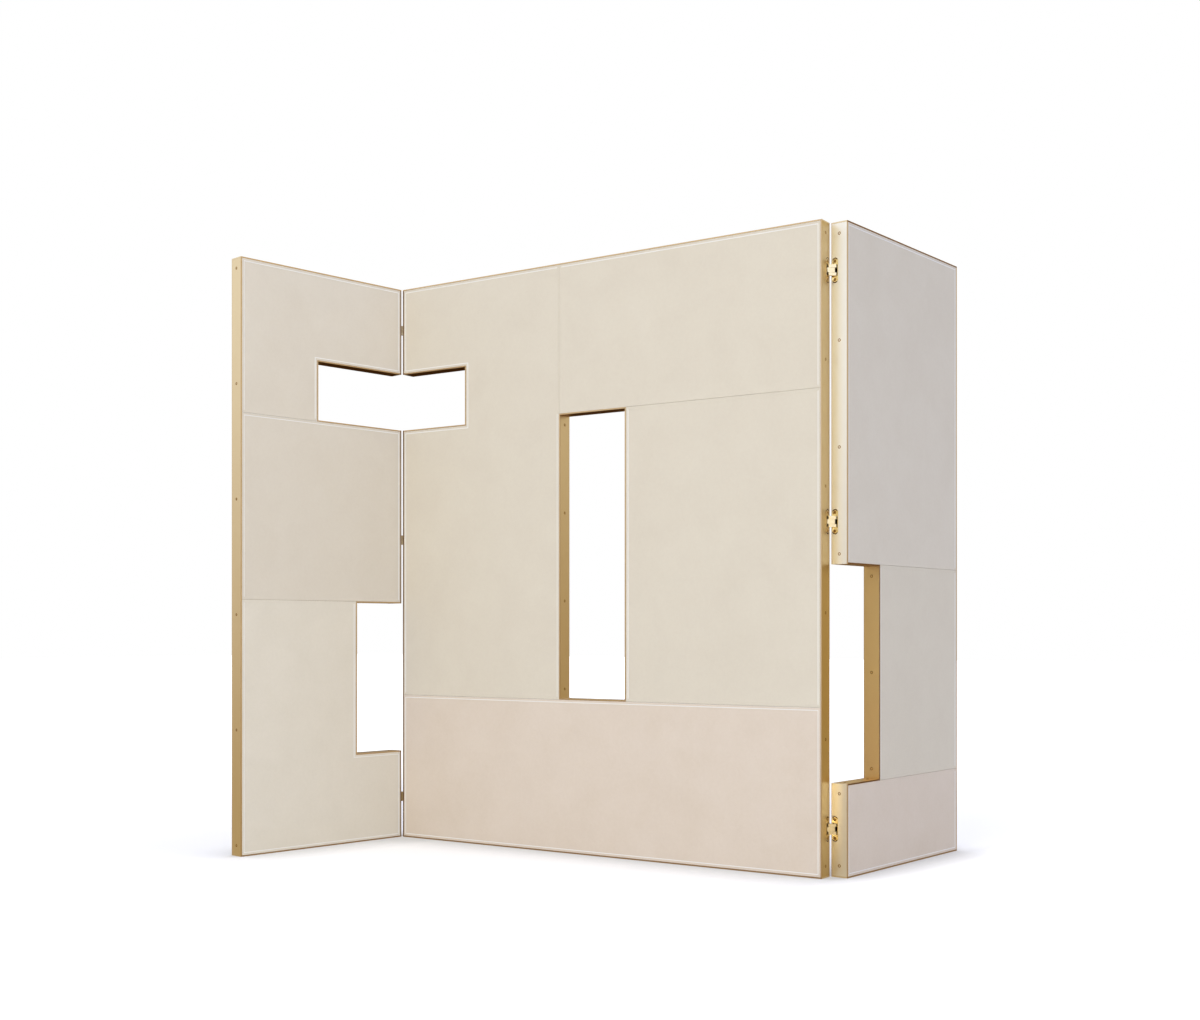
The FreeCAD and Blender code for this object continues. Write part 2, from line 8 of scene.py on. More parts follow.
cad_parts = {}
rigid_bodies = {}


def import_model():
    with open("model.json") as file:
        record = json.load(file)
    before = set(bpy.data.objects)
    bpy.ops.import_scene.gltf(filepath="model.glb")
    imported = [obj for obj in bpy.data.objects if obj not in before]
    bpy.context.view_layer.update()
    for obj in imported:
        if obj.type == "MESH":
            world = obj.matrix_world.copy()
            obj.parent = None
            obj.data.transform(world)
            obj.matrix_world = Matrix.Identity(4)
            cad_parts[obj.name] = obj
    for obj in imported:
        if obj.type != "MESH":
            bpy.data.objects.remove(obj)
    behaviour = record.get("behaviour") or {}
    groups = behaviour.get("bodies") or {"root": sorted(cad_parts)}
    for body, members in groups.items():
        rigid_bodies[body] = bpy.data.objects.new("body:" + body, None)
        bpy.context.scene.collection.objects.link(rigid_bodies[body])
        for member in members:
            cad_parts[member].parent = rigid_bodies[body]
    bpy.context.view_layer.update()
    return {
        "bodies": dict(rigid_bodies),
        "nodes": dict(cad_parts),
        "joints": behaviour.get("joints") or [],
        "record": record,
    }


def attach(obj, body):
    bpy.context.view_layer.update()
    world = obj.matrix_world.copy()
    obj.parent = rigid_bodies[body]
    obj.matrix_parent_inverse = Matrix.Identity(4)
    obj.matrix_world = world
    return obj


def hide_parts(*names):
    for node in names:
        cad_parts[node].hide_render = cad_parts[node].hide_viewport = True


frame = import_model()

mm = 0.001
imageWidth = 1200
imageHeight = 1020


# helpers

def srgb(hexText):
    # screen colour to the linear values that Blender works in
    parts = [int(hexText[i:i + 2], 16) / 255 for i in (1, 3, 5)]
    return [c / 12.92 if c <= 0.04045 else ((c + 0.055) / 1.055) ** 2.4 for c in parts] + [1.0]


def addNode(tree, kind, settings=None, links=None):
    # settings name a socket or a property of the node, links name the socket that an output feeds
    node = tree.nodes.new(kind)
    for name, value in (settings or {}).items():
        if isinstance(name, int) or name in node.inputs:
            node.inputs[name].default_value = value
        else:
            setattr(node, name, value)
    for name, source in (links or {}).items():
        tree.links.new(source, node.inputs[name])
    return node


def newMaterial(name):
    material = bpy.data.materials.new(name)
    material.use_nodes = True
    tree = material.node_tree
    return material, tree, tree.nodes["Principled BSDF"]


# materials

nubuck = {
    "patchSize": 130 * mm,      # cloudy patches where the nap lies another way
    "napSize": 9 * mm,          # tufts of nap, drawn larger than life so that they show
    "grainSize": 2.2 * mm,
    "grainDepth": 0.08 * mm,
    "roughness": 0.9,
    "sheen": 0.1,
    "stretched": "#F4F2EE",     # painted highlight: paler along the cover's edge beside a bar, where its round would catch the light
}


def creamNubuck(name, light, dark):
    # calf leather buffed to a short nap: no gloss, a faint bloom at a low angle, cloudy patches,
    # and a painted highlight, a paler line along the edge of its cover beside a bar
    material, tree, skin = newMaterial(name)
    place = addNode(tree, "ShaderNodeTexCoord").outputs["Object"]
    patches = addNode(tree, "ShaderNodeTexNoise", {
        "Scale": 1 / nubuck["patchSize"], "Detail": 4, "Roughness": 0.55, "Distortion": 0.4,
    }, {"Vector": place})
    nap = addNode(tree, "ShaderNodeTexNoise", {
        "Scale": 1 / nubuck["napSize"], "Detail": 5, "Roughness": 0.7,
    }, {"Vector": place})
    both = addNode(tree, "ShaderNodeMix", {"data_type": "FLOAT", "Factor": 0.42}, {
        "A": patches.outputs["Fac"], "B": nap.outputs["Fac"],
    })
    spread = addNode(tree, "ShaderNodeMapRange", {"From Min": 0.33, "From Max": 0.67}, {
        "Value": both.outputs["Result"],
    })
    colour = addNode(tree, "ShaderNodeMix", {"data_type": "RGBA", 6: srgb(dark), 7: srgb(light)}, {
        0: spread.outputs["Result"],
    })
    # "rim" says where the painted highlight lies along the cover's edge
    rim = addNode(tree, "ShaderNodeAttribute", {"attribute_name": "rim"}).outputs["Fac"]
    paintedEdgeHighlight = addNode(tree, "ShaderNodeMapRange", {
        "From Min": 0.1, "From Max": 0.5, "To Max": 0.9,
    }, {"Value": rim})
    skinColour = addNode(tree, "ShaderNodeMix", {
        "data_type": "RGBA", 7: srgb(nubuck["stretched"]),
    }, {0: paintedEdgeHighlight.outputs["Result"], 6: colour.outputs[2]})
    grain = addNode(tree, "ShaderNodeTexVoronoi", {
        "feature": "SMOOTH_F1", "Scale": 1 / nubuck["grainSize"], "Smoothness": 0.6,
    }, {"Vector": place})
    height = addNode(tree, "ShaderNodeMix", {"data_type": "FLOAT", "Factor": 0.5}, {
        "A": grain.outputs["Distance"], "B": nap.outputs["Fac"],
    })
    bump = addNode(tree, "ShaderNodeBump", {"Strength": 0.5, "Distance": nubuck["grainDepth"]}, {
        "Height": height.outputs["Result"],
    })
    tree.links.new(skinColour.outputs[2], skin.inputs["Base Color"])
    tree.links.new(bump.outputs["Normal"], skin.inputs["Normal"])
    skin.inputs["Roughness"].default_value = nubuck["roughness"]
    skin.inputs["IOR"].default_value = 1.5
    skin.inputs["Specular IOR Level"].default_value = 0.25
    skin.inputs["Sheen Weight"].default_value = nubuck["sheen"]
    skin.inputs["Sheen Roughness"].default_value = 0.6
    return material


brass = {
    "satinLight": "#E3CFAB",
    "satinDark": "#DBC59C",
    "edge": "#BC9C6C",          # painted shade: darker along the edges, where the eased edges would reflect dark
    "lip": "#CBAE84",           # narrow sides, left as sawn
    "shadedLip": "#84603A",      # painted shade: the same darkened brown on bars that sit in shade or are seen from below
    "cup": "#F2DCA6",
    "link": "#EBD09A",
    "screw": "#A07A40",
    "under": "#8A5518",         # painted shade on faces that look down into the openings
    "paintedShade": "#4A2808",       # painted shade, brown to black, in the cups' pockets and round their ends
    "shadeArcWidth": 3.4 * mm,   # of the arc round each end of a cup's flange
    "shadeDepth": 3.2 * mm,   # and from here down its pocket
    "cupHalfWidth": 9.19 * mm,
    "cupStraight": 25.6 * mm,   # from a cup's middle up to where its end turns round
    "lineWidth": 1.1 * mm,      # brushing lines, drawn wider than life so that they show
    "lineLength": 90 * mm,
    "cloudSize": 55 * mm,
    "halfWidth": 25 * mm,       # of the bars
    "edgeWidth": 3 * mm,
    "sideBlend": (0.25 * mm, 0.05 * mm),    # inside the edge, from face to narrow side
}


def satinBrass():
    # brass bar brushed along its length and lacquered: soft long reflections with fine lines,
    # painted shade along each edge, on some narrow sides and under the openings, painted light in
    # some bars' colour, duller narrow sides
    material, tree, metal = newMaterial("satinBrass")
    grain = addNode(tree, "ShaderNodeAttribute", {"attribute_name": "grain"}).outputs["Vector"]
    stretched = addNode(tree, "ShaderNodeMapping", {
        "Scale": (1 / brass["lineLength"], 1 / brass["lineWidth"], 1 / brass["lineWidth"]),
    }, {"Vector": grain})
    lines = addNode(tree, "ShaderNodeTexNoise", {"Scale": 1.0, "Detail": 3, "Roughness": 0.6}, {
        "Vector": stretched.outputs["Vector"],
    })
    clouds = addNode(tree, "ShaderNodeTexNoise", {"Scale": 1 / brass["cloudSize"], "Detail": 3}, {
        "Vector": grain,
    })
    tone = addNode(tree, "ShaderNodeMix", {"data_type": "FLOAT", "Factor": 0.5}, {
        "A": lines.outputs["Fac"], "B": clouds.outputs["Fac"],
    })
    usual = addNode(tree, "ShaderNodeMix", {
        "data_type": "RGBA", 6: srgb(brass["satinDark"]), 7: srgb(brass["satinLight"]),
    }, {0: tone.outputs["Result"]})
    # painted light and shade: some bars lean towards their own lit or shaded colour
    own = addNode(tree, "ShaderNodeAttribute", {"attribute_name": "tone"}).outputs
    toned = addNode(tree, "ShaderNodeMix", {"data_type": "RGBA"}, {
        0: own["Alpha"], 6: usual.outputs[2], 7: own["Color"],
    })
    # painted shade on faces that look down into the openings
    under = addNode(tree, "ShaderNodeAttribute", {"attribute_name": "under"}).outputs["Fac"]
    colour = addNode(tree, "ShaderNodeMix", {"data_type": "RGBA", 7: srgb(brass["under"])}, {
        0: under, 6: toned.outputs[2],
    })
    across = addNode(tree, "ShaderNodeSeparateXYZ", {}, {"Vector": grain}).outputs["Y"]
    offMiddle = addNode(tree, "ShaderNodeMath", {"operation": "ABSOLUTE"}, {0: across})
    # painted shade: a darker line along each edge of a bar's face
    nearEdge = addNode(tree, "ShaderNodeMapRange", {
        "From Min": brass["halfWidth"] - brass["edgeWidth"], "From Max": brass["halfWidth"],
    }, {"Value": offMiddle.outputs[0]})
    faceColour = addNode(tree, "ShaderNodeMix", {"data_type": "RGBA", 7: srgb(brass["edge"])}, {
        0: nearEdge.outputs["Result"], 6: colour.outputs[2],
    })
    onSide = addNode(tree, "ShaderNodeMapRange", {
        "From Min": brass["halfWidth"] - brass["sideBlend"][0],
        "From Max": brass["halfWidth"] - brass["sideBlend"][1],
    }, {"Value": offMiddle.outputs[0]})
    # painted shade: "brown" darkens the narrow sides towards shadedLip
    brown = addNode(tree, "ShaderNodeAttribute", {"attribute_name": "brown"}).outputs["Fac"]
    lipColour = addNode(tree, "ShaderNodeMix", {
        "data_type": "RGBA", 6: srgb(brass["lip"]), 7: srgb(brass["shadedLip"]),
    }, {0: brown})
    barColour = addNode(tree, "ShaderNodeMix", {"data_type": "RGBA"}, {
        0: onSide.outputs["Result"], 6: faceColour.outputs[2], 7: lipColour.outputs[2],
    })
    rough = addNode(tree, "ShaderNodeMapRange", {"To Min": 0.32, "To Max": 0.42}, {
        "Value": lines.outputs["Fac"],
    })
    bump = addNode(tree, "ShaderNodeBump", {"Strength": 0.12, "Distance": 0.02 * mm}, {
        "Height": lines.outputs["Fac"],
    })
    tree.links.new(barColour.outputs[2], metal.inputs["Base Color"])
    tree.links.new(rough.outputs["Result"], metal.inputs["Roughness"])
    tree.links.new(bump.outputs["Normal"], metal.inputs["Normal"])
    metal.inputs["Metallic"].default_value = 1.0
    return material


def turnedBrass(name, hexColour, roughness):
    # small brass pieces, machined and polished: bright, with faint smears where they are handled,
    # and darkened by painted shade in the cups' pockets and round their ends; "inCup" holds
    # across, up and depth behind the flange's face
    material, tree, metal = newMaterial(name)
    place = addNode(tree, "ShaderNodeTexCoord").outputs["Object"]
    smears = addNode(tree, "ShaderNodeTexNoise", {"Scale": 1 / (9 * mm), "Detail": 4}, {
        "Vector": place,
    })
    rough = addNode(tree, "ShaderNodeMapRange", {
        "From Min": 0.3, "From Max": 0.7, "To Min": roughness, "To Max": roughness + 0.12,
    }, {"Value": smears.outputs["Fac"]})
    shade = srgb(hexColour)
    darker = [c * 0.86 for c in shade[:3]] + [1.0]
    clean = addNode(tree, "ShaderNodeMix", {"data_type": "RGBA", 6: darker, 7: shade}, {
        0: smears.outputs["Fac"],
    })
    inCup = addNode(tree, "ShaderNodeAttribute", {"attribute_name": "inCup"}).outputs["Vector"]
    spot = addNode(tree, "ShaderNodeSeparateXYZ", {}, {"Vector": inCup}).outputs
    level = addNode(tree, "ShaderNodeMath", {"operation": "ABSOLUTE"}, {0: spot["Y"]})
    rise = addNode(tree, "ShaderNodeMath", {
        "operation": "SUBTRACT", "use_clamp": True, 1: brass["cupStraight"],
    }, {0: level.outputs[0]})
    roundEnd = addNode(tree, "ShaderNodeCombineXYZ", {}, {"X": spot["X"], "Y": rise.outputs[0]})
    reach = addNode(tree, "ShaderNodeVectorMath", {"operation": "LENGTH"}, {
        0: roundEnd.outputs[0],
    })
    # painted shadow: an arc round each end of the flange
    rim = addNode(tree, "ShaderNodeMapRange", {
        "From Min": brass["cupHalfWidth"] - brass["shadeArcWidth"],
        "From Max": brass["cupHalfWidth"] - 0.5 * brass["shadeArcWidth"],
    }, {"Value": reach.outputs["Value"]})
    atEnd = addNode(tree, "ShaderNodeMapRange", {
        "From Min": 0.3 * brass["cupHalfWidth"], "From Max": 0.5 * brass["cupHalfWidth"],
    }, {"Value": rise.outputs[0]})
    arc = addNode(tree, "ShaderNodeMath", {"operation": "MULTIPLY"}, {
        0: rim.outputs["Result"], 1: atEnd.outputs["Result"],
    })
    # painted shade down the pocket
    deep = addNode(tree, "ShaderNodeMath", {
        "operation": "GREATER_THAN", 1: brass["shadeDepth"],
    }, {0: spot["Z"]})
    cupShade = addNode(tree, "ShaderNodeMath", {"operation": "MAXIMUM"}, {
        0: arc.outputs[0], 1: deep.outputs[0],
    })
    # painted shade laid over a whole part, such as the left fold's links
    linkShade = addNode(tree, "ShaderNodeAttribute", {"attribute_name": "linkShade"}).outputs["Fac"]
    paintedShade = addNode(tree, "ShaderNodeMath", {"operation": "MAXIMUM"}, {
        0: cupShade.outputs[0], 1: linkShade,
    })
    colour = addNode(tree, "ShaderNodeMix", {"data_type": "RGBA", 7: srgb(brass["paintedShade"])}, {
        0: paintedShade.outputs[0], 6: clean.outputs[2],
    })
    tree.links.new(colour.outputs[2], metal.inputs["Base Color"])
    tree.links.new(rough.outputs["Result"], metal.inputs["Roughness"])
    metal.inputs["Metallic"].default_value = 1.0
    return material


def planedPine():
    # softwood planed square: pale, with darker growth lines along the grain
    material, tree, wood = newMaterial("planedPine")
    place = addNode(tree, "ShaderNodeTexCoord").outputs["Object"]
    stretched = addNode(tree, "ShaderNodeMapping", {"Scale": (1, 1, 0.05)}, {"Vector": place})
    rings = addNode(tree, "ShaderNodeTexNoise", {"Scale": 1 / (6 * mm), "Detail": 3}, {
        "Vector": stretched.outputs["Vector"],
    })
    colour = addNode(tree, "ShaderNodeMix", {
        "data_type": "RGBA", 6: srgb("#B58C5C"), 7: srgb("#DDBD8D"),
    }, {0: rings.outputs["Fac"]})
    tree.links.new(colour.outputs[2], wood.inputs["Base Color"])
    wood.inputs["Roughness"].default_value = 0.7
    wood.inputs["IOR"].default_value = 1.5
    return material


def kraftHoneycomb():
    # brown paper cells on edge: dull, with the cell walls darker than the mouths
    material, tree, paper = newMaterial("kraftHoneycomb")
    place = addNode(tree, "ShaderNodeTexCoord").outputs["Object"]
    cells = addNode(tree, "ShaderNodeTexVoronoi", {
        "feature": "DISTANCE_TO_EDGE", "Scale": 1 / (14 * mm),
    }, {"Vector": place})
    walls = addNode(tree, "ShaderNodeMapRange", {"From Max": 0.1}, {
        "Value": cells.outputs["Distance"],
    })
    colour = addNode(tree, "ShaderNodeMix", {
        "data_type": "RGBA", 6: srgb("#8A6B45"), 7: srgb("#C2A378"),
    }, {0: walls.outputs["Result"]})
    tree.links.new(colour.outputs[2], paper.inputs["Base Color"])
    paper.inputs["Roughness"].default_value = 0.95
    return material


# one hide is never quite the colour of the next, and the palest is painted light for the left
# panel's bottom tiles, which sit in the corner's shade
hides = {
    "cream": creamNubuck("creamNubuck", "#E0D8C7", "#DBD2C1"),
    "ivory": creamNubuck("ivoryNubuck", "#E1D9CA", "#DCD3C3"),
    "paintedLightCream": creamNubuck("paintedLightNubuck", "#E7E0D1", "#E1DACA"),
    "rose": creamNubuck("roseNubuck", "#E3D6C7", "#DDCFBE"),
}
satin = satinBrass()
cupBrass = turnedBrass("polishedCupBrass", brass["cup"], 0.2)
linkBrass = turnedBrass("polishedLinkBrass", brass["link"], 0.3)
screwBrass = turnedBrass("screwBrass", brass["screw"], 0.25)
pine = planedPine()
kraft = kraftHoneycomb()
print("materials made")


# the panels, each worked on in line with the centre one and then put back where it stands

joints = {joint["name"]: joint for joint in frame["joints"]}


def inLine(jointName):
    # the low end of a fold's range is where its two panels are in line
    joint = joints[jointName]
    axis = Matrix.Translation(joint["pos_m"])
    turn = Matrix.Rotation(math.radians(joint["range_deg"][0]), 4, "Z")
    return axis @ turn @ axis.inverted()


toLine = {body: Matrix.Identity(4) for body in frame["bodies"]}
toLine["left_panel"] = inLine("left_fold")
toLine["right_panel"] = inLine("right_fold")
panels = ["left_panel", "centre_panel", "right_panel"]
bodyOf = {
    node: body
    for body, nodes in frame["record"]["behaviour"]["bodies"].items()
    for node in nodes
}


def boxOf(points):
    low = Vector([min(p[i] for p in points) for i in range(3)])
    high = Vector([max(p[i] for p in points) for i in range(3)])
    return low, high


weld = {
    "step": 0.01 * mm,          # corners nearer than this are one
    "flatDegrees": 1,           # faces that turn less than this are one
    "roundDegrees": (2, 32),    # and those that turn between these belong to a round
}


def cleanCopy(node):
    # the node's triangles joined up, in line, with one face for each flat
    # triangles come solid by solid, and a solid is whole once none of its edges is open,
    # so that solids that only touch keep their own corners
    mesh = frame["nodes"][node].data
    bm = bmesh.new()
    corners = {}
    openEdges = set()
    for polygon in mesh.polygons:
        spots = [
            tuple(round(c / weld["step"]) for c in mesh.vertices[i].co) for i in polygon.vertices
        ]
        for spot, index in zip(spots, polygon.vertices):
            if spot not in corners:
                corners[spot] = bm.verts.new(mesh.vertices[index].co)
        bm.faces.new([corners[spot] for spot in spots])
        for start, end in zip(spots, spots[1:] + spots[:1]):
            if (end, start) in openEdges:
                openEdges.remove((end, start))
            else:
                openEdges.add((start, end))
        if not openEdges:
            corners = {}
    bmesh.ops.transform(bm, matrix=toLine[bodyOf[node]], verts=bm.verts)
    bmesh.ops.dissolve_limit(
        bm, angle_limit=math.radians(weld["flatDegrees"]), verts=bm.verts, edges=bm.edges,
    )
    least, most = (math.radians(degrees) for degrees in weld["roundDegrees"])
    for face in bm.faces:
        turns = [edge.calc_face_angle(0) for edge in face.edges if len(edge.link_faces) == 2]
        face.smooth = any(least < turn < most for turn in turns)
    return bm


def islands(bm):
    # the separate solids of a mesh, as lists of vertices, always in the mesh's own order
    seen = set()
    for start in bm.verts:
        if start in seen:
            continue
        seen.add(start)
        found = [start]
        for vert in found:
            for edge in vert.link_edges:
                other = edge.other_vert(vert)
                if other not in seen:
                    seen.add(other)
                    found.append(other)
        yield found


def roundOver(bm, edges, width, segments):
    made = bmesh.ops.bevel(
        bm, geom=edges, offset=width, offset_type="OFFSET", segments=segments, profile=0.5,
        affect="EDGES", clamp_overlap=False,
    )
    for face in made["faces"]:
        face.smooth = True


def sharpEdges(bm, degrees=30):
    return [
        edge for edge in bm.edges
        if len(edge.link_faces) == 2 and edge.calc_face_angle(0) > math.radians(degrees)
    ]


def finishPiece(name, bm, node, material):
    # back to where it stands, on its body, in place of its node
    body = bodyOf[node]
    bmesh.ops.transform(bm, matrix=toLine[body].inverted(), verts=bm.verts)
    mesh = bpy.data.meshes.new(name)
    smooth = [face.smooth for face in bm.faces]
    bm.to_mesh(mesh)
    bm.free()
    mesh.set_sharp_from_angle(angle=math.radians(weld["roundDegrees"][1]))
    mesh.polygons.foreach_set("use_smooth", smooth)     # the call above smooths the flats as well
    mesh.materials.append(material)
    piece = bpy.data.objects.new(name, mesh)
    bpy.context.scene.collection.objects.link(piece)
    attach(piece, body)
    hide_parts(node)
    return piece


# leather-covered tiles: the cover is drawn down to the seams and bars over a padded face

tile = {
    "drop": 0.5 * mm,           # how far the cover's edge lies below its face
    "fall": ((0.0, 1.0), (1.0 * mm, 0.6), (2.4 * mm, 0.3), (4.5 * mm, 0.1), (8.0 * mm, 0.0)),
    "besideBar": 14 * mm,       # the painted highlight is only this near to a bar
    "largestRoll": 0.02,        # square metres, so that a tile's field stays flat
    # the palest hide on the left panel's bottom tiles is painted light
    "hides": {
        "top": "ivory", "left": "cream", "upper_right": "cream", "middle": "cream",
        "lower_right": "cream", "bottom": "rose", "left middle": "ivory", "left bottom": "paintedLightCream",
    },
}


def distanceTo(boxes, point):
    # level or upright distance from a point to the nearest box, as seen from the front
    gaps = [
        max(low.x - point.x, point.x - high.x, low.z - point.z, point.z - high.z)
        for low, high in boxes
    ]
    return min(gaps)


def coveredTile(node):
    bm = cleanCopy(node)
    outwards = Vector((0, -1 if "_front_" in node else 1, 0))
    level = max(vert.co.dot(outwards) for vert in bm.verts)
    depth = lambda vert: level - vert.co.dot(outwards)
    flat = [face for face in bm.faces if face.normal.dot(outwards) > 0.9999]
    field = max(flat, key=lambda face: face.calc_area())
    loops = [set(field.verts)]
    inset = 0
    for width, share in tile["fall"][1:]:
        bmesh.ops.inset_region(
            bm, faces=[field], thickness=width - inset, depth=0, use_even_offset=True,
        )
        loops.append(set(field.verts))
        inset = width
    for verts, (width, share) in zip(loops, tile["fall"]):
        for vert in verts:
            vert.co -= outwards * tile["drop"] * share
    # cut at the bars' ends, so that the painted highlight stops where its bar does
    bars = barBoxes[bodyOf[node]]
    facing = lambda face: face.normal.dot(outwards) > 0.3
    levels = sorted({round(end.z, 5) for box in bars for end in box})
    for height in levels:
        around = [face for face in bm.faces if face != field and facing(face)]
        parts = dict.fromkeys(part for face in around for part in (*face.verts, *face.edges, face))
        bmesh.ops.bisect_plane(
            bm, geom=list(parts), dist=weld["step"], plane_co=(0, 0, height), plane_no=(0, 0, 1),
        )
    bm.normal_update()
    # painted highlight: "rim" grows as the cover drops towards its edge beside a bar
    rim = bm.loops.layers.float.new("rim")
    for face in bm.faces:
        if not facing(face):
            continue
        face.smooth = face.calc_area() < tile["largestRoll"]
        if distanceTo(bars, face.calc_center_median()) < tile["besideBar"]:
            for loop in face.loops:
                loop[rim] = min(1.0, depth(loop.vert) / tile["drop"])
    place = node.split("_tile_")[1]
    hide = tile["hides"].get(node.split("_")[0] + " " + place, tile["hides"][place])
    return finishPiece(node + "_cover", bm, node, hides[hide])


def solidBoxes(node):
    bm = cleanCopy(node)
    boxes = [boxOf([vert.co for vert in verts]) for verts in islands(bm)]
    bm.free()
    return boxes


barNodes = [node for node in bodyOf if "_bar" in node or node.endswith("_trim")]
barBoxes = {
    body: [box for node in barNodes if bodyOf[node] == body for box in solidBoxes(node)]
    for body in panels
}
tileNodes = [node for node in bodyOf if "_tile_" in node]
for node in tileNodes:
    coveredTile(node)
print("tiles covered:", len(tileNodes))


# brass bars: edges just broken, and a grain direction for the brushing

bar = {
    "edgeBreak": 0.3 * mm,
    # how far each bar's narrow sides take the painted shade of shadedLip
    "brown": {"bottom_bar": 0.5, "left_fold_bar": 1.0, "centre_left_bar": 1.0,
              "right_top_bar": 1.0, "right_notch": 1.0},
    # painted light and shade: lit and shaded copies of the brass, the right fold bar paler, the
    # centre right bar and right notch more golden
    "tone": {"right_fold_bar": ("#F4EFE4", 0.85), "centre_right_bar": ("#CFB478", 0.9),
             "right_notch": ("#F2CD84", 0.8)},      # and how far towards it
}


def valueFor(table, node, usual):
    return next((value for part, value in table.items() if part in node), usual)


def easedBar(node):
    bm = cleanCopy(node)
    roundOver(bm, sharpEdges(bm), bar["edgeBreak"], 2)
    grain = bm.verts.layers.float_vector.new("grain")
    # painted shade on the narrow sides, as much as the table above gives
    brown = bm.verts.layers.float.new("brown")
    # painted light and shade for the bars in the table above
    tone = bm.verts.layers.float_color.new("tone")
    paintedLightColour, paintedLightShare = valueFor(bar["tone"], node, ("#FFFFFF", 0.0))
    for vert in bm.verts:
        vert[brown] = valueFor(bar["brown"], node, 0.0)
        vert[tone] = srgb(paintedLightColour)[:3] + [paintedLightShare]
    for number, verts in enumerate(islands(bm)):
        low, high = boxOf([vert.co for vert in verts])
        size = high - low
        middle = (low + high) / 2
        order = sorted(range(3), key=lambda axis: -size[axis])
        for vert in verts:
            along, across, through = (vert.co[axis] - middle[axis] for axis in order)
            vert[grain] = (along + number, across, through)
    # painted shade: marks the faces that look down into the openings
    under = bm.loops.layers.float.new("under")
    for face in bm.faces:
        looksDown = face.normal.z < -0.9 and node.endswith("_trim")
        for loop in face.loops:
            loop[under] = 1.0 if looksDown else 0.0
    return finishPiece(node + "_eased", bm, node, satin)


for node in barNodes:
    easedBar(node)
print("bars eased:", len(barNodes))


# hinges: cups and links keep their own shape with broken edges

hinge = {
    "edgeBreak": 0.2 * mm,
    "leftLinkShade": 0.4,    # painted shade: the left fold's links are darkened all over, as they sit in the shaded fold
}


def markCups(bm, node):
    # every cup stands upright, so its box gives its middle
    # the side panels' cups look towards the centre panel, and its own look out from it
    inCup = bm.verts.layers.float_vector.new("inCup")
    for verts in islands(bm):
        low, high = boxOf([vert.co for vert in verts])
        middle = (low + high) / 2
        looksRight = (middle.x > 0) == node.startswith("centre")
        face = high.x if looksRight else low.x
        for vert in verts:
            vert[inCup] = (vert.co.y - middle.y, vert.co.z - middle.z, abs(vert.co.x - face))


def easedHingePart(node):
    bm = cleanCopy(node)
    roundOver(bm, sharpEdges(bm), hinge["edgeBreak"], 2)
    if node.endswith("cups"):
        markCups(bm, node)
    # painted shade on the left fold's links
    if node.startswith("left_fold"):
        linkShade = bm.verts.layers.float.new("linkShade")
        for vert in bm.verts:
            vert[linkShade] = hinge["leftLinkShade"]
    brassKind = cupBrass if node.endswith("cups") else linkBrass
    return finishPiece(node + "_eased", bm, node, brassKind)


hingeNodes = [node for node in bodyOf if node.endswith(("hinge_cups", "_links"))]
for node in hingeNodes:
    easedHingePart(node)
print("hinges eased:", len(hingeNodes))


# screws: countersunk with a low dome and a hexagon socket, placed by Geometry Nodes

screw = {
    "headDiameter": 9.0 * mm,
    "endInset": 28 * mm,        # from the end of a bar to its first screw
    "pitch": 350 * mm,          # most that two screws stand apart
    "hingeRoom": 8 * mm,
    "hingeHeadDiameter": 8.9 * mm,
    "sides": 24,
    "socketShare": 0.3,         # socket's corner radius over the head's diameter
    "sharpDegrees": 40,
}


def screwHead():
    # one head of unit diameter, standing on its rim
    rings = [(0.5, -0.02), (0.5, 0.004), (0.485, 0.02), (0.42, 0.05), (0.33, 0.075)]
    corner = screw["socketShare"]
    flatShare = math.cos(math.radians(30))
    bm = bmesh.new()
    loops = []
    angles = [math.tau * side / screw["sides"] for side in range(screw["sides"])]
    for radius, height in rings:
        loops.append([
            bm.verts.new((radius * math.cos(a), radius * math.sin(a), height)) for a in angles
        ])
    for height in (0.09, -0.3):
        hexagon = []
        for a in angles:
            off = (a + math.radians(30)) % math.radians(60) - math.radians(30)
            radius = corner * flatShare / math.cos(math.radians(30) - abs(off))
            hexagon.append(bm.verts.new((radius * math.cos(a), radius * math.sin(a), height)))
        loops.append(hexagon)
    for lower, upper in zip(loops, loops[1:]):
        for side in range(screw["sides"]):
            other = (side + 1) % screw["sides"]
            bm.faces.new((lower[side], lower[other], upper[other], upper[side]))
    bm.faces.new(loops[-1])
    bm.faces.new(loops[0][::-1])
    mesh = bpy.data.meshes.new("screwHead")
    bm.to_mesh(mesh)
    bm.free()
    head = bpy.data.objects.new("screwHead", mesh)
    bpy.context.scene.collection.objects.link(head)
    return head


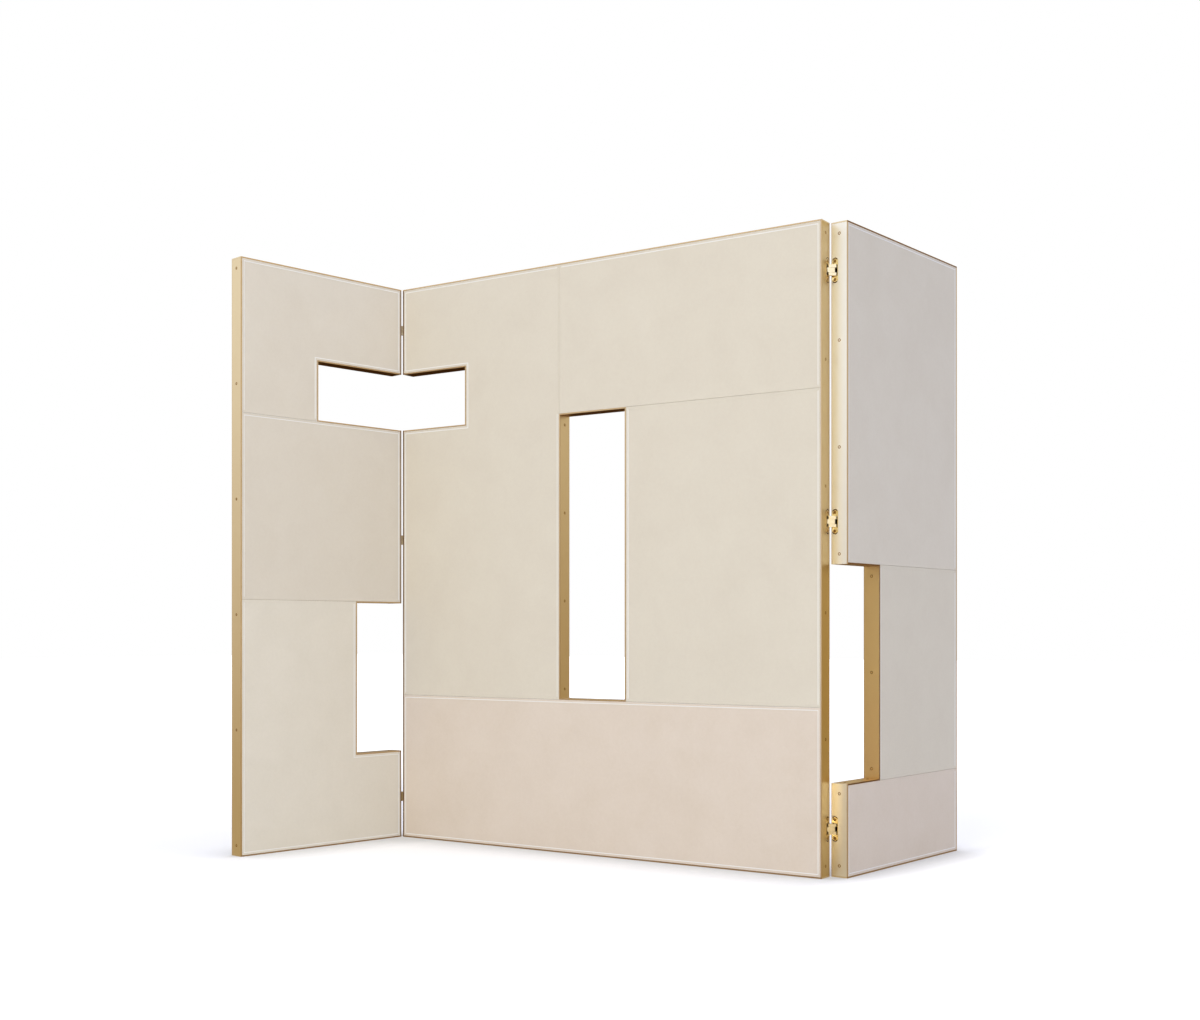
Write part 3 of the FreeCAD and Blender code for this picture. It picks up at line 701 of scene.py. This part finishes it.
def screwRowTree():
    # puts a head on every point, facing along "outward" and turned by chance about its own axis
    tree = bpy.data.node_groups.new("screwRow", "GeometryNodeTree")
    sockets = (
        ("Geometry", "INPUT", "NodeSocketGeometry"), ("Head", "INPUT", "NodeSocketObject"),
        ("Head Diameter", "INPUT", "NodeSocketFloat"), ("Seed", "INPUT", "NodeSocketInt"),
        ("Material", "INPUT", "NodeSocketMaterial"), ("Geometry", "OUTPUT", "NodeSocketGeometry"),
    )
    for name, way, kind in sockets:
        tree.interface.new_socket(name, in_out=way, socket_type=kind)
    start = addNode(tree, "NodeGroupInput").outputs
    outward = addNode(tree, "GeometryNodeInputNamedAttribute", {
        "data_type": "FLOAT_VECTOR", "Name": "outward",
    })
    facing = addNode(tree, "FunctionNodeAlignRotationToVector", {"axis": "Z"}, {
        "Vector": outward.outputs["Attribute"],
    })
    chance = addNode(tree, "FunctionNodeRandomValue", {
        "data_type": "FLOAT", 2: 0.0, 3: math.tau,
    }, {"Seed": start["Seed"]})
    turn = addNode(tree, "FunctionNodeAxisAngleToRotation", {"Axis": (0, 0, 1)}, {
        "Angle": chance.outputs[1],
    })
    placed = addNode(tree, "FunctionNodeRotateRotation", {"rotation_space": "LOCAL"}, {
        "Rotation": facing.outputs[0], "Rotate By": turn.outputs[0],
    })
    points = addNode(tree, "GeometryNodeMeshToPoints", {}, {"Mesh": start["Geometry"]})
    head = addNode(tree, "GeometryNodeObjectInfo", {}, {"Object": start["Head"]})
    heads = addNode(tree, "GeometryNodeInstanceOnPoints", {}, {
        "Points": points.outputs[0], "Instance": head.outputs["Geometry"],
        "Rotation": placed.outputs[0], "Scale": start["Head Diameter"],
    })
    real = addNode(tree, "GeometryNodeRealizeInstances", {}, {"Geometry": heads.outputs[0]})
    painted = addNode(tree, "GeometryNodeSetMaterial", {}, {
        "Geometry": real.outputs[0], "Material": start["Material"],
    })
    addNode(tree, "NodeGroupOutput", {}, {"Geometry": painted.outputs[0]})
    return tree


def setScrews(name, body, places, diameter, seed, replaced=None):
    # places are (point, outward) pairs in line with the centre panel
    back = toLine[body].inverted()
    mesh = bpy.data.meshes.new(name + "Points")
    mesh.from_pydata([back @ point for point, outward in places], [], [])
    layer = mesh.attributes.new("outward", "FLOAT_VECTOR", "POINT")
    for item, (point, outward) in zip(layer.data, places):
        item.vector = back.to_3x3() @ outward
    holder = bpy.data.objects.new(name + "Points", mesh)
    bpy.context.scene.collection.objects.link(holder)
    modifier = holder.modifiers.new("screwRow", "NODES")
    modifier.node_group = rowTree
    values = {"Head": headShape, "Head Diameter": diameter, "Seed": seed, "Material": screwBrass}
    for item in rowTree.interface.items_tree:
        if item.in_out == "INPUT" and item.name in values:
            modifier[item.identifier] = values[item.name]
    evaluated = holder.evaluated_get(bpy.context.evaluated_depsgraph_get())
    made = bpy.data.meshes.new_from_object(evaluated)
    bpy.data.objects.remove(holder)
    for face in made.polygons:
        face.use_smooth = True
    made.set_sharp_from_angle(angle=math.radians(screw["sharpDegrees"]))
    piece = bpy.data.objects.new(name, made)
    bpy.context.scene.collection.objects.link(piece)
    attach(piece, body)
    if replaced:
        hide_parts(replaced)
    return len(places)


def barScrews(node, panelBox, cups):
    # a row along the middle of each bar's outer face, clear of the hinges
    places = []
    boxes = solidBoxes(node)
    nodeLow, nodeHigh = boxOf([corner for box in boxes for corner in box])
    aroundOpening = node.endswith("_trim")
    for low, high in boxes:
        size = high - low
        thin = min(range(3), key=lambda axis: size[axis])
        long = max(range(3), key=lambda axis: size[axis])
        middle = (low + high) / 2
        if aroundOpening:
            sign = 1 if (nodeLow[thin] + nodeHigh[thin]) / 2 > middle[thin] else -1
        else:
            sign = 1 if middle[thin] > (panelBox[0][thin] + panelBox[1][thin]) / 2 else -1
        outward = Vector((0, 0, 0))
        outward[thin] = sign
        span = size[long] - 2 * screw["endInset"]
        count = max(2, math.ceil(span / screw["pitch"]) + 1)
        for number in range(count):
            point = middle.copy()
            point[thin] = high[thin] if sign > 0 else low[thin]
            point[long] = low[long] + screw["endInset"] + span * number / (count - 1)
            room = screw["hingeRoom"]
            taken = any(
                all(cupLow[i] - room < point[i] < cupHigh[i] + room for i in range(3))
                for cupLow, cupHigh in cups
            )
            if not taken:
                places.append((point, outward))
    return places


def hingeScrews(node, panelBox):
    # one head over each countersink of the cups' flanges
    places = []
    for low, high in solidBoxes(node):
        middle = (low + high) / 2
        outward = Vector((1 if middle.x > (panelBox[0].x + panelBox[1].x) / 2 else -1, 0, 0))
        middle.x = high.x if outward.x > 0 else low.x
        places.append((middle, outward))
    return places


headShape = screwHead()
rowTree = screwRowTree()
for seed, body in enumerate(panels):
    side = body.split("_")[0]
    panelBoxes = [solidBoxes(side + "_top_bar")[0], solidBoxes(side + "_bottom_bar")[0]]
    panelBox = boxOf([corner for box in panelBoxes for corner in box])
    cups = solidBoxes(side + "_hinge_cups")
    places = []
    for node in barNodes:
        if bodyOf[node] == body and not node.endswith("bottom_bar"):
            places += barScrews(node, panelBox, cups)
    made = setScrews(side + "_bar_screws", body, places, screw["headDiameter"], seed)
    node = side + "_hinge_screws"
    made += setScrews(
        node + "_turned", body, hingeScrews(node, panelBox), screw["hingeHeadDiameter"],
        seed + 10, node,
    )
    print(body, "screws set:", made)
bpy.data.objects.remove(headShape)

for node, part in frame["nodes"].items():
    if node.endswith("timber_frame"):
        part.data.materials.clear()
        part.data.materials.append(pine)
    if node.endswith("core_infill"):
        part.data.materials.clear()
        part.data.materials.append(kraft)
    if node.endswith("hinge_pins"):
        part.data.materials.clear()
        part.data.materials.append(linkBrass)


# studio: pale floor, even white surroundings and soft lamps

studio = {
    "floorSize": 60.0,
    "floorColour": "#EDEDED",
    "liftNear": 0.26,           # added where the floor is seen, to be white away from shadow
    "liftFar": 0.75,            # and out where the lamps don't reach
    "liftFrom": 1.3,
    "liftTo": 4.0,
    "liftRight": 0.33,          # more on the right, where the panel's broad shade would grey it
    "liftRightWay": (1, -0.17, 0),
    "liftRightReach": (0.79, 0.96),
    "contactReach": 190 * mm,   # the shadow close under the edges
    "contactShade": 0.68,
    "skyTint": "#ECEFFF",
    "skyLow": 0.567,
    "skyHigh": 0.898,
}


def seenDirectly(tree):
    # what the camera sees, and metal and glass show
    path = addNode(tree, "ShaderNodeLightPath").outputs
    mirrored = addNode(tree, "ShaderNodeMath", {"operation": "MAXIMUM"}, {
        0: path["Is Glossy Ray"], 1: path["Is Transmission Ray"],
    })
    seen = addNode(tree, "ShaderNodeMath", {"operation": "MAXIMUM"}, {
        0: path["Is Camera Ray"], 1: mirrored.outputs[0],
    })
    return seen.outputs[0]


def stagePlane(name, corners, material):
    mesh = bpy.data.meshes.new(name)
    mesh.from_pydata(corners, [], [(0, 1, 2, 3)])
    mesh.materials.append(material)
    plane = bpy.data.objects.new(name, mesh)
    bpy.context.scene.collection.objects.link(plane)
    return plane


def paleFloor():
    material, tree, surface = newMaterial("paleFloorPaint")
    close = addNode(tree, "ShaderNodeAmbientOcclusion", {"Distance": studio["contactReach"]})
    seen = seenDirectly(tree)
    shade = addNode(tree, "ShaderNodeMapRange", {
        "From Min": 0.5, "To Min": studio["contactShade"],
    }, {"Value": close.outputs["AO"]}).outputs["Result"]
    seenShade = addNode(tree, "ShaderNodeMix", {"data_type": "FLOAT", "A": 1.0}, {
        "Factor": seen, "B": shade,
    })
    place = addNode(tree, "ShaderNodeTexCoord").outputs["Object"]
    away = addNode(tree, "ShaderNodeVectorMath", {"operation": "LENGTH"}, {0: place})
    lift = addNode(tree, "ShaderNodeMapRange", {
        "interpolation_type": "SMOOTHSTEP",
        "From Min": studio["liftFrom"], "From Max": studio["liftTo"],
        "To Min": studio["liftNear"], "To Max": studio["liftFar"],
    }, {"Value": away.outputs["Value"]})
    rightwards = addNode(tree, "ShaderNodeVectorMath", {
        "operation": "DOT_PRODUCT", 1: studio["liftRightWay"],
    }, {0: place})
    liftRight = addNode(tree, "ShaderNodeMapRange", {
        "From Min": studio["liftRightReach"][0], "From Max": studio["liftRightReach"][1],
        "To Max": studio["liftRight"],
    }, {"Value": rightwards.outputs["Value"]})
    wholeLift = addNode(tree, "ShaderNodeMath", {"operation": "ADD"}, {
        0: lift.outputs["Result"], 1: liftRight.outputs["Result"],
    })
    seenLift = addNode(tree, "ShaderNodeMath", {"operation": "MULTIPLY"}, {
        0: wholeLift.outputs[0], 1: seen,
    })
    shadedLift = addNode(tree, "ShaderNodeMath", {"operation": "MULTIPLY"}, {
        0: seenLift.outputs[0], 1: shade,
    })
    paint = addNode(tree, "ShaderNodeMix", {
        "data_type": "RGBA", 6: (0, 0, 0, 1), 7: srgb(studio["floorColour"]),
    }, {0: seenShade.outputs["Result"]})
    tree.links.new(paint.outputs[2], surface.inputs["Base Color"])
    tree.links.new(shadedLift.outputs[0], surface.inputs["Emission Strength"])
    surface.inputs["Emission Color"].default_value = (1, 1, 1, 1)
    surface.inputs["Roughness"].default_value = 0.9
    surface.inputs["Specular IOR Level"].default_value = 0.0
    half = studio["floorSize"] / 2
    corners = [(-half, -half, 0), (half, -half, 0), (half, half, 0), (-half, half, 0)]
    stagePlane("floor", corners, material)


def surroundings():
    world = bpy.data.worlds.new("studio")
    bpy.context.scene.world = world
    world.use_nodes = True
    tree = world.node_tree
    tree.nodes.clear()
    way = addNode(tree, "ShaderNodeTexCoord").outputs["Generated"]
    upward = addNode(tree, "ShaderNodeSeparateXYZ", {}, {"Vector": way})
    level = addNode(tree, "ShaderNodeMapRange", {
        "interpolation_type": "SMOOTHSTEP", "From Min": -0.1, "From Max": 0.45,
        "To Min": studio["skyLow"], "To Max": studio["skyHigh"],
    }, {"Value": upward.outputs["Z"]})
    seen = seenDirectly(tree)
    strength = addNode(tree, "ShaderNodeMix", {"data_type": "FLOAT", "B": 1.0}, {
        "Factor": seen, "A": level.outputs["Result"],
    })
    tint = addNode(tree, "ShaderNodeMix", {
        "data_type": "RGBA", 6: srgb(studio["skyTint"]), 7: (1, 1, 1, 1),
    }, {0: seen})
    light = addNode(tree, "ShaderNodeBackground", {}, {
        "Color": tint.outputs[2], "Strength": strength.outputs["Result"],
    })
    addNode(tree, "ShaderNodeOutputWorld", {}, {"Surface": light.outputs[0]})


# cards round the set that show only in the brass, which needs something other than even
# white to look like metal; an upright one shades from its low to its high colour
cards = {
    "backRight": {"at": (2.7, 3.3), "width": 5.2, "height": 4.4, "shade": (0.3, 2.0),
                  "low": "#AC8F4C", "high": "#E8DEC4", "strength": 1.0},
    "backLeft": {"at": (-2.8, 3.3), "width": 5.2, "height": 2.2, "shade": (0, 2.2),
                 "low": "#2A1A0A", "high": "#4A3216", "strength": 1.0},
    "frontLeft": {"at": (-3.03, -3.0), "width": 4.0, "height": 3.6, "shade": (0.2, 2.4),
                  "low": "#A69262", "high": "#F3F8FF", "strength": 1.25},
    "frontMiddle": {"at": (-0.85, -4.9), "width": 1.8, "height": 3.6, "shade": (0, 1),
                    "low": "#D9E6FF", "high": "#D9E6FF", "strength": 1.9},
    "front": {"at": (1.9, -4.5), "width": 1.4, "height": 3.0, "shade": (0.8, 2.8),
              "low": "#907648", "high": "#AA8B54", "strength": 1.0},
    "frontRight": {"at": (4.0, -3.5), "width": 2.6, "height": 3.6, "shade": (1.2, 2.4),
                   "low": "#88909E", "high": "#ADC5FF", "strength": 5.3},
}
floorCards = {
    "tanUnder": {"outline": ((-5.0, -6.0), (5.5, -6.0), (5.5, 5.0), (-5.0, 5.0)),
                 "level": 0.4 * mm, "hex": "#C4B38F", "strength": 1.0},
    "darkUnder": {"outline": ((-4.5, 0.9), (-0.9, 0.9), (-0.9, 4.6), (-4.5, 4.6)),
                  "level": 0.8 * mm, "hex": "#341D08", "strength": 1.0},
    "brightUnder": {"outline": ((1.05, -0.4), (1.9, -2.6), (3.4, -3.3), (2.5, -1.3)),
                    "level": 0.8 * mm, "hex": "#D8DAE0", "strength": 8.0},
}


def onlyReflected(plane):
    plane.visible_camera = False
    plane.visible_diffuse = False
    plane.visible_transmission = False
    plane.visible_volume_scatter = False
    plane.visible_shadow = False


def glowing(name):
    material = bpy.data.materials.new(name + "Card")
    material.use_nodes = True
    tree = material.node_tree
    tree.nodes.clear()
    glow = addNode(tree, "ShaderNodeEmission")
    addNode(tree, "ShaderNodeOutputMaterial", {}, {"Surface": glow.outputs[0]})
    return material, tree, glow


def standingCard(name, card):
    material, tree, glow = glowing(name)
    place = addNode(tree, "ShaderNodeTexCoord").outputs["Object"]
    height = addNode(tree, "ShaderNodeSeparateXYZ", {}, {"Vector": place}).outputs["Z"]
    rise = addNode(tree, "ShaderNodeMapRange", {
        "From Min": card["shade"][0], "From Max": card["shade"][1],
    }, {"Value": height})
    colour = addNode(tree, "ShaderNodeMix", {
        "data_type": "RGBA", 6: srgb(card["low"]), 7: srgb(card["high"]),
    }, {0: rise.outputs["Result"]})
    tree.links.new(colour.outputs[2], glow.inputs["Color"])
    glow.inputs["Strength"].default_value = card["strength"]
    middle = Vector((*card["at"], 0))
    side = Vector((-middle.y, middle.x, 0)).normalized() * card["width"] / 2
    top = Vector((0, 0, card["height"]))
    corners = [middle - side, middle + side, middle + side + top, middle - side + top]
    onlyReflected(stagePlane(name, corners, material))


def lyingCard(name, card):
    material, tree, glow = glowing(name)
    glow.inputs["Color"].default_value = srgb(card["hex"])
    glow.inputs["Strength"].default_value = card["strength"]
    corners = [(x, y, card["level"]) for x, y in card["outline"]]
    onlyReflected(stagePlane(name, corners, material))


lamps = {
    "key": {"at": (1.1, -5.0, 2.8), "aim": (-0.2, 0, 0.9), "size": 2.6, "watts": 83,
            "hex": "#FFF9DC"},
    "top": {"at": (0.1, 0.1, 4.6), "aim": (0.1, 0.1, 0), "size": 1.6, "watts": 28,
            "hex": "#FFFFFF"},
}


def softLamp(name, lamp):
    data = bpy.data.lights.new(name, "AREA")
    data.size = lamp["size"]
    data.energy = lamp["watts"]
    data.color = srgb(lamp["hex"])[:3]
    holder = bpy.data.objects.new(name, data)
    bpy.context.scene.collection.objects.link(holder)
    holder.location = lamp["at"]
    aim = Vector(lamp["aim"]) - Vector(lamp["at"])
    holder.rotation_euler = aim.to_track_quat("-Z", "Y").to_euler()
    holder.visible_glossy = False     # the cards stand for the lamps in the brass


paleFloor()
surroundings()
for name, card in cards.items():
    standingCard(name, card)
for name, card in floorCards.items():
    lyingCard(name, card)
for name, lamp in lamps.items():
    softLamp(name, lamp)
bpy.context.scene.view_settings.view_transform = "Standard"


# camera: level, as low as a seated person's chest, turned to the screen's left

camera = {
    "at": (2.5046, -3.7142, 0.6733),
    "azimuth": 33.885,            # degrees from the back direction towards the left
    "focalPixels": 1481.6,
    "horizonRow": 632.16,
}


def levelCamera():
    data = bpy.data.cameras.new("camera")
    data.sensor_width = 36.0
    data.lens = camera["focalPixels"] / imageWidth * data.sensor_width
    data.shift_y = (camera["horizonRow"] - imageHeight / 2) / imageWidth
    data.clip_end = 200.0
    holder = bpy.data.objects.new("camera", data)
    bpy.context.scene.collection.objects.link(holder)
    holder.location = camera["at"]
    holder.rotation_euler = (math.radians(90), 0, math.radians(camera["azimuth"]))
    bpy.context.scene.camera = holder


levelCamera()
print("studio and camera set")
